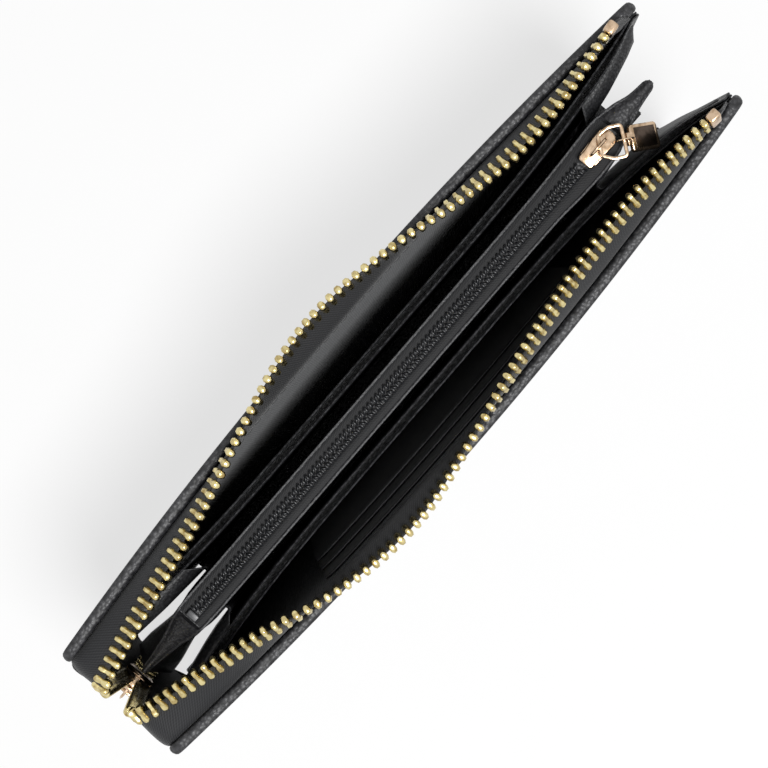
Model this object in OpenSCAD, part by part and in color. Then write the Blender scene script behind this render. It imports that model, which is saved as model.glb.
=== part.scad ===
// Long zip wallet standing open on its spine.
// X runs along the wallet, towards the end where the zip opens.
// Y runs across it: the back half is at +Y, the front half at -Y.
// Z points up, and the origin is the middle of the spine's underside.

/* [Covers] */
// Length of the leather covers
wallet_len = 195; // [160:1:235]
// Height of the leather covers above the base
cover_h = 98; // [82:1:125]
// Width over both covers at the spine
spine_w = 26; // [25:0.5:34]
// How much further apart the back cover's top stands than its foot, at the ends
back_splay = 3.5; // [0:0.5:6]
// The same for the front cover
front_splay = 5; // [0:0.5:6]
// Extra outward bow of each cover's top edge at mid length
mid_bow = 5; // [3:0.5:10]
// Thickness of the outer leather
leather_t = 1.2; // [0.8:0.1:1.4]
// Thickness of the stiffening board in each cover
board_t = 0.9; // [0.6:0.1:1.2]
// Thickness of the lining cloth
lining_t = 0.45; // [0.3:0.05:0.6]
// Depth of leather turned in over the top of each cover
turn_in = 2.6; // [2:0.2:5]

/* [Leaves and card panels] */
// Thickness of the leather leaf in each half
leaf_t = 1.7; // [1:0.1:1.9]
// Height of the leaf's top edge above the base
leaf_top = 89; // [70:1:89]
// Distance from the middle of the wallet to the back leaf at mid length
back_leaf_gap = 7.6; // [6.6:0.1:8]
// The same for the front leaf
front_leaf_gap = 6.5; // [5.8:0.1:7.2]
// Width of the card panels
card_w = 92; // [88:1:110]
// Height of the tallest card panel's top edge
card_top = 87; // [70:1:90]
// How much lower each next card panel stands
card_step = 9; // [6:0.5:12]
// Number of card panels
card_count = 3; // [2:1:3]
// Thickness of one card panel
card_t = 0.7; // [0.5:0.1:0.8]

/* [Coin pocket] */
// Length of the parallel part of the coin pocket
coin_len = 148; // [110:1:160]
// Width over the coin pocket's two walls
coin_w = 8.4; // [7.6:0.2:9.4]
// Thickness of a coin pocket wall
coin_wall_t = 0.8; // [0.5:0.1:1]
// Height of the top of the coin pocket's walls
coin_top = 91; // [70:1:91]
// Length of the pinched leather tab at each end of the coin pocket
coin_tab_len = 14; // [10:1:15]
// How deep each gusset folds in from the ends
gusset_depth = 30; // [20:1:38]
// Thickness of the gusset leather
gusset_t = 0.5; // [0.3:0.1:0.6]

/* [Main zip] */
// Distance from one tooth to the next on one side
tooth_pitch = 2.5; // [2.2:0.1:3]
// Length of a tooth across its tape
tooth_len = 4.4; // [3.6:0.1:4.8]
// Height of a tooth through its tape
tooth_h = 2.6; // [2:0.1:3]
// Thickness of the zip tape
tape_t = 0.7; // [0.5:0.1:0.8]
// Width of tape between the cover's seam and the middle of the teeth
tape_reach = 9; // [8:0.5:12]
// Height of the slider's middle above the base
slider_z = 30; // [26:1:36]
// Travel of the slider up the short end
slider_travel = 48; // [30:1:50]
// Length of the main slider
slider_len = 11; // [9:0.5:12]
// Width of the main slider at its shoulders
slider_w = 8; // [7:0.2:9]

/* [Pulls] */
// Width of both pull tabs
tab_w = 6.2; // [5:0.2:7]
// Thickness of both pull tabs
tab_t = 1.4; // [1:0.1:1.6]
// Length of the coin zip's pull tab
coin_pull_len = 9.5; // [8:0.5:9.5]
// Length of the main zip's pull tab
main_pull_len = 15; // [10:1:17]

/* [Hidden] */

leather = "#2b2b2e";
cloth = "#3d4046";
tape_colour = "#33363c";
tooth_gold = "#d9cf9c";
metal_gold = "#e2b98f";

fit_gap = 0.05;
half_len = wallet_len / 2;
spine_half = spine_w / 2;
spine_t = 1.4;
hinge_gap = 0.8;
half_z0 = spine_t + hinge_gap;
board_inset = 1.3;
wall_t = leather_t + board_t + lining_t + 3 * fit_gap;
stations = 26;
panel_half = half_len - board_inset;
leaf_seat = 0.15;
turn_z = cover_h - turn_in;

// Distance from the middle plane to a cover's outer face; straight in z.
function splay(side) = side == "front" ? front_splay : back_splay;
function cover_y(side, x, z) = let (s = x / half_len)
    spine_half + z / cover_h * (splay(side) + mid_bow * (1 - s * s));

// Distance from the middle plane to a leaf's inner face.
function leaf_y(side, x, z) = let (s = min(1, abs(x) / half_len))
    let (at_end = cover_y(side, half_len, z) - wall_t - leaf_seat - leaf_t)
    let (gap = side == "front" ? front_leaf_gap : back_leaf_gap)
    gap + (at_end - gap) * pow(s, 3.5);

function lerp(a, b, t) = a + (b - a) * t;
function steps(a, b, n) = [for (i = [0 : n]) lerp(a, b, i / n)];

// Cross-sections shared by every layer of a cover, so that their facets agree.
cover_xs = concat([-half_len], steps(-panel_half, panel_half, stations), [half_len]);
leaf_xs = steps(-panel_half, half_len, 2 * stations);

// Smooth curve through a few [x, y] knots, level at each end.
function smooth(k, x, i = 0) =
    x <= k[0][0] ? k[0][1] :
    i >= len(k) - 1 ? k[len(k) - 1][1] :
    x > k[i + 1][0] ? smooth(k, x, i + 1) :
    let (a = k[max(i - 1, 0)], b = k[i], c = k[i + 1], d = k[min(i + 2, len(k) - 1)])
    let (t = (x - b[0]) / (c[0] - b[0]))
    let (m0 = (c[1] - a[1]) / (c[0] - a[0]) * (c[0] - b[0]))
    let (m1 = (d[1] - b[1]) / (d[0] - b[0]) * (c[0] - b[0]))
    (2 * t * t * t - 3 * t * t + 1) * b[1] + (t * t * t - 2 * t * t + t) * m0
    + (3 * t * t - 2 * t * t * t) * c[1] + (t * t * t - t * t) * m1;

// A closed skin over a row of like sections.
module skin(sections) {
    n = len(sections);
    m = len(sections[0]);
    points = [for (s = sections) for (p = s) p];
    quads = [for (i = [0 : n - 2]) for (j = [0 : m - 1])
        [i * m + j, i * m + (j + 1) % m, (i + 1) * m + (j + 1) % m, (i + 1) * m + j]];
    // Each quad is split along its shorter diagonal, so layers that touch agree.
    walls = [for (q = quads) each
        norm(points[q[0]] - points[q[2]]) < norm(points[q[1]] - points[q[3]])
        ? [[q[0], q[2], q[1]], [q[0], q[3], q[2]]]
        : [[q[0], q[3], q[1]], [q[1], q[3], q[2]]]];
    caps = [[for (j = [0 : m - 1]) j], [for (j = [m - 1 : -1 : 0]) (n - 1) * m + j]];
    polyhedron(points = points, faces = concat(walls, caps), convexity = 8);
}

// A layer that follows the cover, between two insets from its outer face.
module cover_layer(side, x0, x1, z0, z1, inset0, inset1) {
    inner_xs = [for (x = cover_xs) if (x > x0 + 0.1 && x < x1 - 0.1) x];
    skin([for (x = concat([x0], inner_xs, [x1])) [
        [x, cover_y(side, x, z0) - inset0, z0],
        [x, cover_y(side, x, z1) - inset0, z1],
        [x, cover_y(side, x, z1) - inset1, z1],
        [x, cover_y(side, x, z0) - inset1, z0]
    ]]);
}

// Puts the back half's shape on either side.
module on_side(side) {
    mirror([0, side == "back" ? 0 : 1, 0]) children();
}

// ---- Covers ----
module cover(side) {
    color(leather) on_side(side) skin([for (x = cover_xs) [
        [x, cover_y(side, x, half_z0), half_z0],
        [x, cover_y(side, x, cover_h - 0.6), cover_h - 0.6],
        [x, cover_y(side, x, cover_h) - 0.6, cover_h],
        [x, cover_y(side, x, cover_h) - wall_t + 0.6, cover_h],
        [x, cover_y(side, x, cover_h - 0.6) - wall_t, cover_h - 0.6],
        [x, cover_y(side, x, turn_z) - wall_t, turn_z],
        [x, cover_y(side, x, turn_z) - leather_t, turn_z],
        [x, cover_y(side, x, half_z0) - leather_t, half_z0]
    ]]);
}

module board(side) {
    inset = leather_t + fit_gap;
    color("#8a7a63") on_side(side)
        cover_layer(side, -panel_half, panel_half, half_z0 + 1, turn_z - fit_gap,
            inset, inset + board_t);
}

module lining(side) {
    inset = leather_t + board_t + 2 * fit_gap;
    color(cloth) on_side(side)
        cover_layer(side, -panel_half, panel_half, half_z0, turn_z - fit_gap,
            inset, inset + lining_t);
}

module leaf(side) {
    color(leather) on_side(side) skin([for (x = leaf_xs) [
        [x, leaf_y(side, x, half_z0) + leaf_t, half_z0],
        [x, leaf_y(side, x, leaf_top) + leaf_t, leaf_top],
        [x, leaf_y(side, x, leaf_top), leaf_top],
        [x, leaf_y(side, x, half_z0), half_z0]
    ]]);
}

// Card panels lie on the front lining, each lower and further in than the last.
card_first = wall_t + 3 * fit_gap;
card_spacing = card_t + 0.3;
function card_inset(i) = card_first + (i - 1) * card_spacing;
// Lowest height at which a panel clears the leaf, at the panel's ends.
function card_z0(i) = let (need = front_leaf_gap + leaf_t + 0.6 + card_inset(i) + card_t - spine_half)
    let (s = card_w / 2 / half_len)
    max(half_z0 + 1, need * cover_h / (front_splay + mid_bow * (1 - s * s)));

module card_panel(i) {
    color(cloth) on_side("front")
        cover_layer("front", -card_w / 2, card_w / 2, card_z0(i), card_top - (i - 1) * card_step,
            card_inset(i), card_inset(i) + card_t);
}

// ---- Spine ----
// Each end has two notches, under the folds where the gussets open downwards.
// Each is [end, side, length].
notches = [[-1, 1, 24], [-1, -1, 20], [1, 1, 5.5], [1, -1, 22]];
notch_y0 = 3.2;
notch_y1 = 8.6;
module spine_strip() {
    chamfer = 0.4;
    color(leather) difference() {
        rotate([90, 0, 90]) linear_extrude(wallet_len, center = true) polygon([
            [-spine_half, chamfer], [-spine_half + chamfer, 0],
            [spine_half - chamfer, 0], [spine_half, chamfer],
            [spine_half, spine_t], [-spine_half, spine_t]
        ]);
        for (n = notches)
            translate([n[0] * half_len, n[1] * (notch_y0 + notch_y1) / 2, spine_t / 2])
                cube([2 * n[2], notch_y1 - notch_y0, 2 * spine_t], center = true);
    }
}

spine_board_t = 0.8;
module spine_board() {
    width = 2 * (front_leaf_gap - 0.5);
    color("#8a7a63") translate([-coin_len / 2, -width / 2, spine_t + fit_gap])
        cube([coin_len, width, spine_board_t]);
}

// ---- Coin pocket ----
coin_half = coin_len / 2;
coin_z0 = spine_t + spine_board_t + 2 * fit_gap;
coin_y = coin_w / 2;
coin_tip = coin_half + coin_tab_len;

module coin_wall(side) {
    color(leather) on_side(side) translate([-coin_half, coin_y - coin_wall_t, coin_z0])
        cube([coin_len, coin_wall_t, coin_top - coin_z0]);
}

module coin_pocket_floor() {
    width = coin_w - 2 * coin_wall_t - 2 * fit_gap;
    color(cloth) translate([-coin_half, -width / 2, coin_z0])
        cube([coin_len, width, 0.8]);
}

// Plan of a pinched end: full width where it meets the walls, narrow at the tip.
tip_r = 1.5;
module pinched_plan() {
    hull() {
        translate([coin_tip - tip_r, 0]) circle(tip_r, $fn = 24);
        translate([coin_half + 7, -2.1]) square([0.1, 4.2]);
    }
    polygon([
        [coin_half + fit_gap, -coin_y], [coin_half + 4, -3.1], [coin_half + 7.05, -2.1],
        [coin_half + 7.05, 2.1], [coin_half + 4, 3.1], [coin_half + fit_gap, coin_y]
    ]);
}

module coin_end_right() {
    color(leather) translate([0, 0, coin_z0])
        linear_extrude(coin_top + 1.6 - coin_z0) pinched_plan();
}

// The left end folds down, so its top slopes away from the zip.
module coin_end_left() {
    color(leather) intersection() {
        mirror([1, 0, 0]) translate([0, 0, coin_z0])
            linear_extrude(cover_h) pinched_plan();
        rotate([90, 0, 0]) linear_extrude(coin_w + 2, center = true) polygon([
            [-coin_half, coin_z0], [-coin_half, coin_top + 1.2],
            [-coin_half - 3, coin_top + 1.2], [-coin_tip, coin_top - 16],
            [-coin_tip, coin_z0]
        ]);
    }
}

coin_tape_z = coin_top + fit_gap;
coin_tape_t = 0.6;
coil_y = 1.6;
coil_h = 1.6;
coil_z = coin_tape_z + coin_tape_t + fit_gap;
module coin_tape(side) {
    color(tape_colour) on_side(side) translate([-coin_half, coil_y + 0.15, coin_tape_z])
        cube([coin_len, coin_y - coil_y - 0.15, coin_tape_t]);
}

coin_slider_len = 9.6;
coin_slider_w = 5;
coin_slider_x = coin_half - 6;
coil_x0 = -coin_half + 4;
coil_x1 = coin_slider_x - coin_slider_len / 2 - 0.3;
// One half of the nylon coil: a half-round bar that meets its twin in the middle.
module coin_coil(side) {
    color("#2f3136") on_side(side) intersection() {
        translate([coil_x0, 0, coil_z]) rotate([0, 90, 0])
            cylinder(r = coil_y, h = coil_x1 - coil_x0, $fn = 32);
        translate([coil_x0, 0.03, coil_z]) cube([coil_x1 - coil_x0, coil_y, coil_h]);
    }
}

module coin_zip_stops() {
    color("#2f3136") translate([coil_x0 - 2.2, -coil_y, coil_z]) cube([2, 2 * coil_y, 1.4]);
}

// ---- Coin slider, built with its nose towards +X ----
plate_t = 0.9;
coin_plate_z = coil_z + coil_h + 0.2;
module coin_slider() {
    low_z = coin_tape_z - 0.25 - plate_t;
    color(metal_gold) translate([coin_slider_x, 0, 0]) {
        slider_plate(coin_slider_len, coin_slider_w, coin_plate_z, plate_t);
        slider_plate(coin_slider_len, coin_slider_w - 0.2, low_z, plate_t);
        translate([2, -0.9, low_z + plate_t - 0.1])
            cube([2.6, 1.8, coin_plate_z - low_z - plate_t + 0.2]);
        for (s = [-1, 1])
            translate([-coin_slider_len / 2 + 1.5, s * 2.1 - 0.35, coil_z + 0.2])
                cube([coin_slider_len - 4, 0.7, coil_h + 0.1]);
    }
}

// Plan of a slider plate: round shoulders at the nose, straight at the tail.
module slider_plate(length, width, z, thickness) {
    translate([0, 0, z]) linear_extrude(thickness) hull() {
        translate([length / 2 - width * 0.4, 0]) scale([0.8, 1]) circle(width / 2, $fn = 40);
        translate([-length / 2, -width * 0.38]) square([1, width * 0.76]);
    }
}

bail_len = 5;
bail_w = 1.4;
bail_h = 2.9;
bar_r = 0.4;
// An arched loop on a slider's plate, open across Y.
module bail() {
    rotate([90, 0, 0]) linear_extrude(bail_w, center = true) difference() {
        hull() {
            translate([-bail_len / 2, 0]) square([bail_len, 1]);
            translate([-bail_len / 2 + 1.4, bail_h - 1.4]) circle(1.4, $fn = 32);
            translate([bail_len / 2 - 1.4, bail_h - 1.4]) circle(1.4, $fn = 32);
        }
        hull() {
            translate([-1, 1.15]) circle(0.85, $fn = 24);
            translate([1, 1.15]) circle(0.85, $fn = 24);
        }
    }
}

module coin_bail() {
    color(metal_gold) translate([coin_slider_x, 0, coin_plate_z + plate_t]) bail();
}

// A pull ring: bar through the bail at the origin, arms to a second bar at ring_len.
ring_len = 5.6;
ring_w = 5.4;
module pull_ring() {
    arm = 0.9;
    for (x = [0, ring_len])
        translate([x, 0, 0]) rotate([90, 0, 0])
            cylinder(r = bar_r, h = ring_w, center = true, $fn = 24);
    for (s = [-1, 1])
        translate([-bar_r, s * ring_w / 2 - arm / 2, -bar_r])
            cube([ring_len + 2 * bar_r, arm, 2 * bar_r]);
}

// A pull tab: a slotted eye round the ring's far bar, then a plain flat blade.
eye_r = 1.1;
eye_w = 3.2;
module pull_tab(length) {
    difference() {
        union() {
            rotate([90, 0, 0]) cylinder(r = eye_r, h = eye_w, center = true, $fn = 32);
            translate([0, -eye_w / 2, -tab_t / 2]) cube([3.2, eye_w, tab_t]);
            translate([1.5, -tab_w / 2, -tab_t / 2]) cube([length - 1.5, tab_w, tab_t]);
        }
        rotate([90, 0, 0])
            cylinder(r = bar_r + 0.12, h = tab_w + 1, center = true, $fn = 24);
    }
}

// The coin pull is flopped over the pocket's front edge.
pull_yaw = -36;
ring_pitch = -3;
coin_tab_pitch = 30;
coin_pivot = [coin_slider_x + 0.4, 0, coin_plate_z + plate_t + 1.15];
function turned(v, pitch, yaw) = [
    v * cos(pitch) * cos(yaw), v * cos(pitch) * sin(yaw), -v * sin(pitch)];
coin_tab_pivot = coin_pivot + turned(ring_len, ring_pitch, pull_yaw);

module coin_pull_ring() {
    color(metal_gold) translate(coin_pivot) rotate([0, ring_pitch, pull_yaw]) pull_ring();
}

module coin_pull_tab() {
    color(metal_gold) translate(coin_tab_pivot) rotate([0, coin_tab_pitch, pull_yaw])
        pull_tab(coin_pull_len);
}

// ---- Main zip: top run on each half ----
// Knots are [share of half the length, distance from the middle plane].
back_run = [[-1, 5], [-0.84, 8.3], [-0.58, 12.9], [-0.36, 17.8], [-0.16, 22],
    [0, 22.8], [0.2, 19.9], [0.4, 15.6], [0.6, 13], [0.93, 15.3]];
front_run = [[-1, 5.6], [-0.87, 8.5], [-0.67, 13.7], [-0.52, 18.6], [-0.36, 22.4],
    [-0.2, 23.5], [-0.04, 21.4], [0.2, 17.6], [0.46, 14.3], [0.67, 13.5], [0.93, 15.1]];
seam_inset = wall_t + 0.1;
seam_z = turn_z + 0.5;
bend_z = cover_h + 0.5;
run_x0 = -half_len + 1.5;
run_x1 = half_len - 9;

// The knots move with the cover when its size changes.
knot_ref = 15.5;
function run_y(side, x) =
    smooth(side == "back" ? back_run : front_run, x / half_len)
    + (spine_half + back_splay - 1 - knot_ref) * 0.5;
function seam_y(side, x) = cover_y(side, x, seam_z) - seam_inset;
function run_z(side, x) = let (dy = run_y(side, x) - seam_y(side, x))
    seam_z + sqrt(max(tape_reach * tape_reach - dy * dy, 4));

tape_stations = 40;
tape_stop = tooth_len / 2 + 0.15;
// The tape stands up inside the cover's edge, then leans over to the teeth.
function unit(v) = v / norm(v);
function side_of(d) = [d[1], -d[0]];
module top_tape(side) {
    half = tape_t / 2;
    color(tape_colour) on_side(side) skin([for (x = steps(run_x0, run_x1, tape_stations))
        let (foot_y = seam_y(side, x) - half)
        let (bend = [foot_y, bend_z], edge = [run_y(side, x), run_z(side, x)])
        let (d = unit(edge - bend), n = side_of(d), tip = edge - d * tape_stop)
        let (m = ([1, 0] + n) / (1 + n[0]) * half)
        [[x, foot_y + half, seam_z], [x, bend[0] + m[0], bend[1] + m[1]],
         [x, tip[0] + n[0] * half, tip[1] + n[1] * half],
         [x, tip[0] - n[0] * half, tip[1] - n[1] * half],
         [x, bend[0] - m[0], bend[1] - m[1]], [x, foot_y - half, seam_z]]
    ]);
}

tooth_share = 0.52;
module tooth() {
    cube([tooth_pitch * tooth_share, tooth_len, tooth_h], center = true);
}

// Lean of the tape at x, measured from the Y axis.
function run_lean(side, x) =
    atan2(run_z(side, x) - bend_z, run_y(side, x) - seam_y(side, x) + tape_t / 2);

teeth_on_top = floor((run_x1 - run_x0 - 3) / tooth_pitch);
module top_teeth(side) {
    color(tooth_gold) on_side(side) for (i = [0 : teeth_on_top - 1]) {
        x = run_x0 + 1 + i * tooth_pitch;
        translate([x, run_y(side, x), run_z(side, x)])
            rotate([run_lean(side, x), 0, 0]) tooth();
    }
}

module top_stop(side) {
    x = run_x1 + 0.2;
    color(metal_gold) on_side(side) translate([x, run_y(side, x), run_z(side, x)])
        rotate([run_lean(side, x), 0, 0]) difference() {
            cube([3.2, 4.6, 3], center = true);
            translate([0, -2, 0]) cube([4, 3, tape_t + 0.1], center = true);
        }
}

// ---- Main zip: down the short end ----
// The chain line leans out from the top corner to the slider.
end_top = [-half_len + 0.5, cover_h - 3];
end_low_x = -half_len - 5.5;
function end_x(z) = lerp(end_low_x, end_top[0], (z - slider_z) / (end_top[1] - slider_z));
end_lean = atan2(end_top[0] - end_low_x, end_top[1] - slider_z);
function end_y(z) = lerp(2.4, 4.6, (z - slider_z) / (end_top[1] - slider_z));
end_z0 = slider_z + slider_len / 2 + 0.6;
end_z1 = end_top[1] - 1.5;

module end_tape(side) {
    color(tape_colour) on_side(side) skin([for (z = steps(end_z0, end_z1, 12))
        let (a = [-half_len + 0.7, cover_y(side, half_len, z) - wall_t - 0.2])
        let (b = [end_x(z), end_y(z) + tape_stop + tape_t / 3])
        let (d = (b - a) / norm(b - a), n = [d[1], -d[0]] * tape_t / 2)
        [[a[0] - n[0], a[1] - n[1], z], [b[0] - n[0], b[1] - n[1], z],
         [b[0] + n[0], b[1] + n[1], z], [a[0] + n[0], a[1] + n[1], z]]
    ]);
}

module end_teeth(side) {
    count = floor((end_z1 - end_z0) / tooth_pitch);
    color(tooth_gold) on_side(side) for (i = [0 : count - 1]) {
        z = end_z0 + (i + 0.5) * tooth_pitch;
        translate([end_x(z), end_y(z), z]) rotate([0, end_lean, 0])
            cube([tooth_h, tooth_len, tooth_pitch * tooth_share], center = true);
    }
}

// Closed chain below the slider, leaning back to the spine's end, teeth taking turns.
closed_z0 = 8;
closed_z1 = slider_z - slider_len / 2 - 0.4;
closed_foot_x = -half_len - 1.2;
closed_lean = atan2(end_x(closed_z1) - closed_foot_x, closed_z1);
function closed_x(z) = lerp(closed_foot_x, end_x(closed_z1), z / closed_z1);
module closed_teeth() {
    count = floor((closed_z1 - closed_z0) / (tooth_pitch / 2));
    color(tooth_gold) for (i = [0 : count - 1]) {
        z = closed_z0 + (i + 0.5) * tooth_pitch / 2;
        translate([closed_x(z), (i % 2 == 0 ? 1 : -1) * 0.8, z]) rotate([0, closed_lean, 0])
            cube([tooth_h, tooth_len, tooth_pitch / 2 - 0.12], center = true);
    }
}

module main_bottom_stop() {
    z = closed_z0 - 1.4;
    color(metal_gold) translate([closed_x(z), 0, z]) rotate([0, closed_lean, 0])
        cube([tooth_h + 0.4, 5.6, 2.4], center = true);
}

// Tape below the slider, both sides together, sewn to the spine's end.
module zip_tail() {
    edge = 3.4;
    color(tape_colour) for (s = [-1, 1])
        skin([for (z = [1.6, closed_z1])
            let (x = closed_x(z), y0 = s * edge, y1 = s * (spine_half - wall_t - 1.2))
            s > 0 ? [[x, y0, z], [-half_len - 0.3, y1, z],
                [-half_len - 0.3 - tape_t, y1, z], [x - tape_t, y0, z]]
            : [[x, y0, z], [x - tape_t, y0, z],
                [-half_len - 0.3 - tape_t, y1, z], [-half_len - 0.3, y1, z]]]);
}

// ---- Main slider, built along X with its nose towards +X, then stood up ----
main_gap = tooth_h / 2 + 0.3;
main_plate_t = 1.1;
module stand_up() {
    translate([end_x(slider_z), 0, slider_z]) rotate([0, end_lean - 90, 0]) children();
}

module main_slider() {
    color(metal_gold) stand_up() {
        slider_plate(slider_len, slider_w, main_gap, main_plate_t);
        slider_plate(slider_len, slider_w, -main_gap - main_plate_t, main_plate_t);
        translate([1.8, -1, -main_gap - 0.1]) cube([2.8, 2, 2 * main_gap + 0.2]);
    }
}

module main_bail() {
    color(metal_gold) stand_up() translate([0, 0, main_gap + main_plate_t]) bail();
}

main_ring_pivot_h = main_gap + main_plate_t + 1.15;
main_pivot = [
    end_x(slider_z) - main_ring_pivot_h * cos(end_lean),
    0, slider_z + main_ring_pivot_h * sin(end_lean)];
main_ring_pitch = 100;
main_tab_pivot = main_pivot + turned(ring_len, main_ring_pitch, 0);

module main_pull_ring() {
    color(metal_gold) translate(main_pivot) rotate([0, main_ring_pitch, 0]) pull_ring();
}

module main_pull_tab() {
    color(metal_gold) translate(main_tab_pivot) rotate([0, 90, 0]) pull_tab(main_pull_len);
}

// ---- Gussets: each folds in between a leaf's end and the coin pocket's end ----
// end is -1 at the left and 1 at the right.
module gusset(side, end) {
    fold_x = half_len - gusset_depth;
    fold_r = 0.6;
    clear = 0.35 + gusset_t / 2;
    near = [for (x = leaf_xs) if (end * x > fold_x + 3 && end * x < half_len - 1.2) end * x];
    leaf_path = end > 0 ? [for (i = [len(near) - 1 : -1 : 0]) near[i]] : near;
    coin_path = [[coin_half, coin_y], [coin_half + 4, 3.1], [coin_half + 7, 2.1],
        [coin_tip - 3, 1.9]];
    function fold_y(z) = leaf_y(side, fold_x, z) - clear - fold_r;
    // Each step is [x, y, way across x, way across y].
    function path(z) = concat(
        [for (x = leaf_path) [x, leaf_y(side, x, z) - clear, 0, 1]],
        [[fold_x + fold_r, fold_y(z) + fold_r, 0, 1], [fold_x, fold_y(z), -1, 0],
         [fold_x + fold_r, fold_y(z) - fold_r, 0, -1]],
        [for (p = coin_path) [p[0], p[1] + clear, 0, -1]]);
    z0 = half_z0 + 1;
    z1 = leaf_top - 3;
    low = path(z0);
    high = path(z1);
    // The walk starts at the outer end, so its near side swaps between the two ends.
    half = -end * gusset_t / 2;
    color(leather) on_side(side) skin([for (i = [0 : len(low) - 1])
        let (a = low[i], b = high[i])
        [[end * (a[0] + half * a[2]), a[1] + half * a[3], z0],
         [end * (b[0] + half * b[2]), b[1] + half * b[3], z1],
         [end * (b[0] - half * b[2]), b[1] - half * b[3], z1],
         [end * (a[0] - half * a[2]), a[1] - half * a[3], z0]]
    ]);
}

spine_strip();
spine_board();
coin_wall("front");  // coin_wall_front
coin_wall("back");  // coin_wall_back
coin_pocket_floor();
coin_end_left();
coin_end_right();
coin_tape("front");  // coin_tape_front
coin_tape("back");  // coin_tape_back
coin_coil("front");  // coin_coil_front
coin_coil("back");  // coin_coil_back
coin_zip_stops();
coin_slider();
coin_bail();
coin_pull_ring();
coin_pull_tab();
zip_tail();
closed_teeth();
main_bottom_stop();
main_slider();
main_bail();
main_pull_ring();
main_pull_tab();
cover("back");  // back_cover
board("back");  // back_board
lining("back");  // back_lining
leaf("back");  // back_leaf
top_tape("back");  // back_tape
top_teeth("back");  // back_teeth
top_stop("back");  // back_top_stop
end_tape("back");  // back_end_tape
end_teeth("back");  // back_end_teeth
gusset("back", -1);  // back_gusset_left
gusset("back", 1);  // back_gusset_right
cover("front");  // front_cover
board("front");  // front_board
lining("front");  // front_lining
leaf("front");  // front_leaf
top_tape("front");  // front_tape
top_teeth("front");  // front_teeth
top_stop("front");  // front_top_stop
end_tape("front");  // front_end_tape
end_teeth("front");  // front_end_teeth
gusset("front", -1);  // front_gusset_left
gusset("front", 1);  // front_gusset_right
card_panel(1);  // card_panel_1
card_panel(2);  // card_panel_2
card_panel(3);  // card_panel_3
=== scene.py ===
import math
import bpy
import bmesh
from mathutils import Matrix, Vector


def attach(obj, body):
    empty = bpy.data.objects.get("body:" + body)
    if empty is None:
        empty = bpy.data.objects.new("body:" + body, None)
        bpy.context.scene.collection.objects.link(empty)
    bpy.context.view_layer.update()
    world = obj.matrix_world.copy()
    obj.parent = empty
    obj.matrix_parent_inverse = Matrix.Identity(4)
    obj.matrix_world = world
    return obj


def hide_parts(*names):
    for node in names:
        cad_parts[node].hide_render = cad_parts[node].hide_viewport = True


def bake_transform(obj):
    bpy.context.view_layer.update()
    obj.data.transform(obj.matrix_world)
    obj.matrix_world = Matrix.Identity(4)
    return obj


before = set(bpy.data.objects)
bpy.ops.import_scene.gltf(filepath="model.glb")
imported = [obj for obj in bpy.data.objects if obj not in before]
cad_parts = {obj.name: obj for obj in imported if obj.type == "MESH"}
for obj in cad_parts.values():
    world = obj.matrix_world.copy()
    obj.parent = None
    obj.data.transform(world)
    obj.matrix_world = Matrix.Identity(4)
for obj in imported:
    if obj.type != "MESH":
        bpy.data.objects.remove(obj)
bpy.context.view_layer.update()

mm = 0.001  # shapes are worked out in millimetres and scaled once
print("frame loaded")


# A socket that can be added, multiplied and so on like a number.
class Wire:
    def __init__(self, tree, socket):
        self.tree = tree
        self.socket = socket

    def maths(self, operation, first, second=0.0):
        return self.tree.node("ShaderNodeMath", {"operation": operation}, {0: first, 1: second})

    def __add__(self, other):
        return self.maths("ADD", self, other)

    __radd__ = __add__

    def __sub__(self, other):
        return self.maths("SUBTRACT", self, other)

    def __rsub__(self, other):
        return self.maths("SUBTRACT", other, self)

    def __mul__(self, other):
        return self.maths("MULTIPLY", self, other)

    __rmul__ = __mul__

    def __truediv__(self, other):
        return self.maths("DIVIDE", self, other)

    def __pow__(self, other):
        return self.maths("POWER", self, other)


# One way to add any node: its kind, its settings, then its sockets.
class Tree:
    def __init__(self, nodeTree):
        self.nodeTree = nodeTree

    def node(self, kind, settings=None, sockets=None, out=0):
        made = self.nodeTree.nodes.new(kind)
        for key, value in (settings or {}).items():
            if key == "stops":
                while len(made.color_ramp.elements) < len(value):
                    made.color_ramp.elements.new(0.5)
                for stop, (place, shade) in zip(made.color_ramp.elements, value):
                    stop.position = place
                    stop.color = shade if hasattr(shade, "__len__") else (shade, shade, shade, 1)
            else:
                setattr(made, key, value)
        for key, value in (sockets or {}).items():
            if isinstance(value, Wire):
                self.nodeTree.links.new(value.socket, made.inputs[key])
            else:
                made.inputs[key].default_value = value
        return Wire(self, made.outputs[out]) if len(made.outputs) else made

    def mix(self, factor, first, second):
        return self.node("ShaderNodeMix", {"data_type": "RGBA"}, {0: factor, 6: first, 7: second}, 2)

    def noise(self, place, scale, detail=2.0, roughness=0.5):
        return self.node("ShaderNodeTexNoise", None,
                         {"Vector": place, "Scale": scale, "Detail": detail, "Roughness": roughness})

    def ramp(self, value, stops):
        return self.node("ShaderNodeValToRGB", {"stops": stops}, {0: value})

    def bump(self, height, strength, distance, normal=None):
        sockets = {"Height": height, "Strength": strength, "Distance": distance}
        if normal is not None:
            sockets["Normal"] = normal
        return self.node("ShaderNodeBump", None, sockets)


def newMaterial(name):
    material = bpy.data.materials.new(name)
    material.use_nodes = True
    material.node_tree.nodes.clear()
    return material, Tree(material.node_tree)


def closeMaterial(tree, shader):
    tree.node("ShaderNodeOutputMaterial", None, {"Surface": shader})


def principled(tree, sockets):
    return tree.node("ShaderNodeBsdfPrincipled", None, sockets)


def colour(r, g, b):
    return (r, g, b, 1.0)


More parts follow.
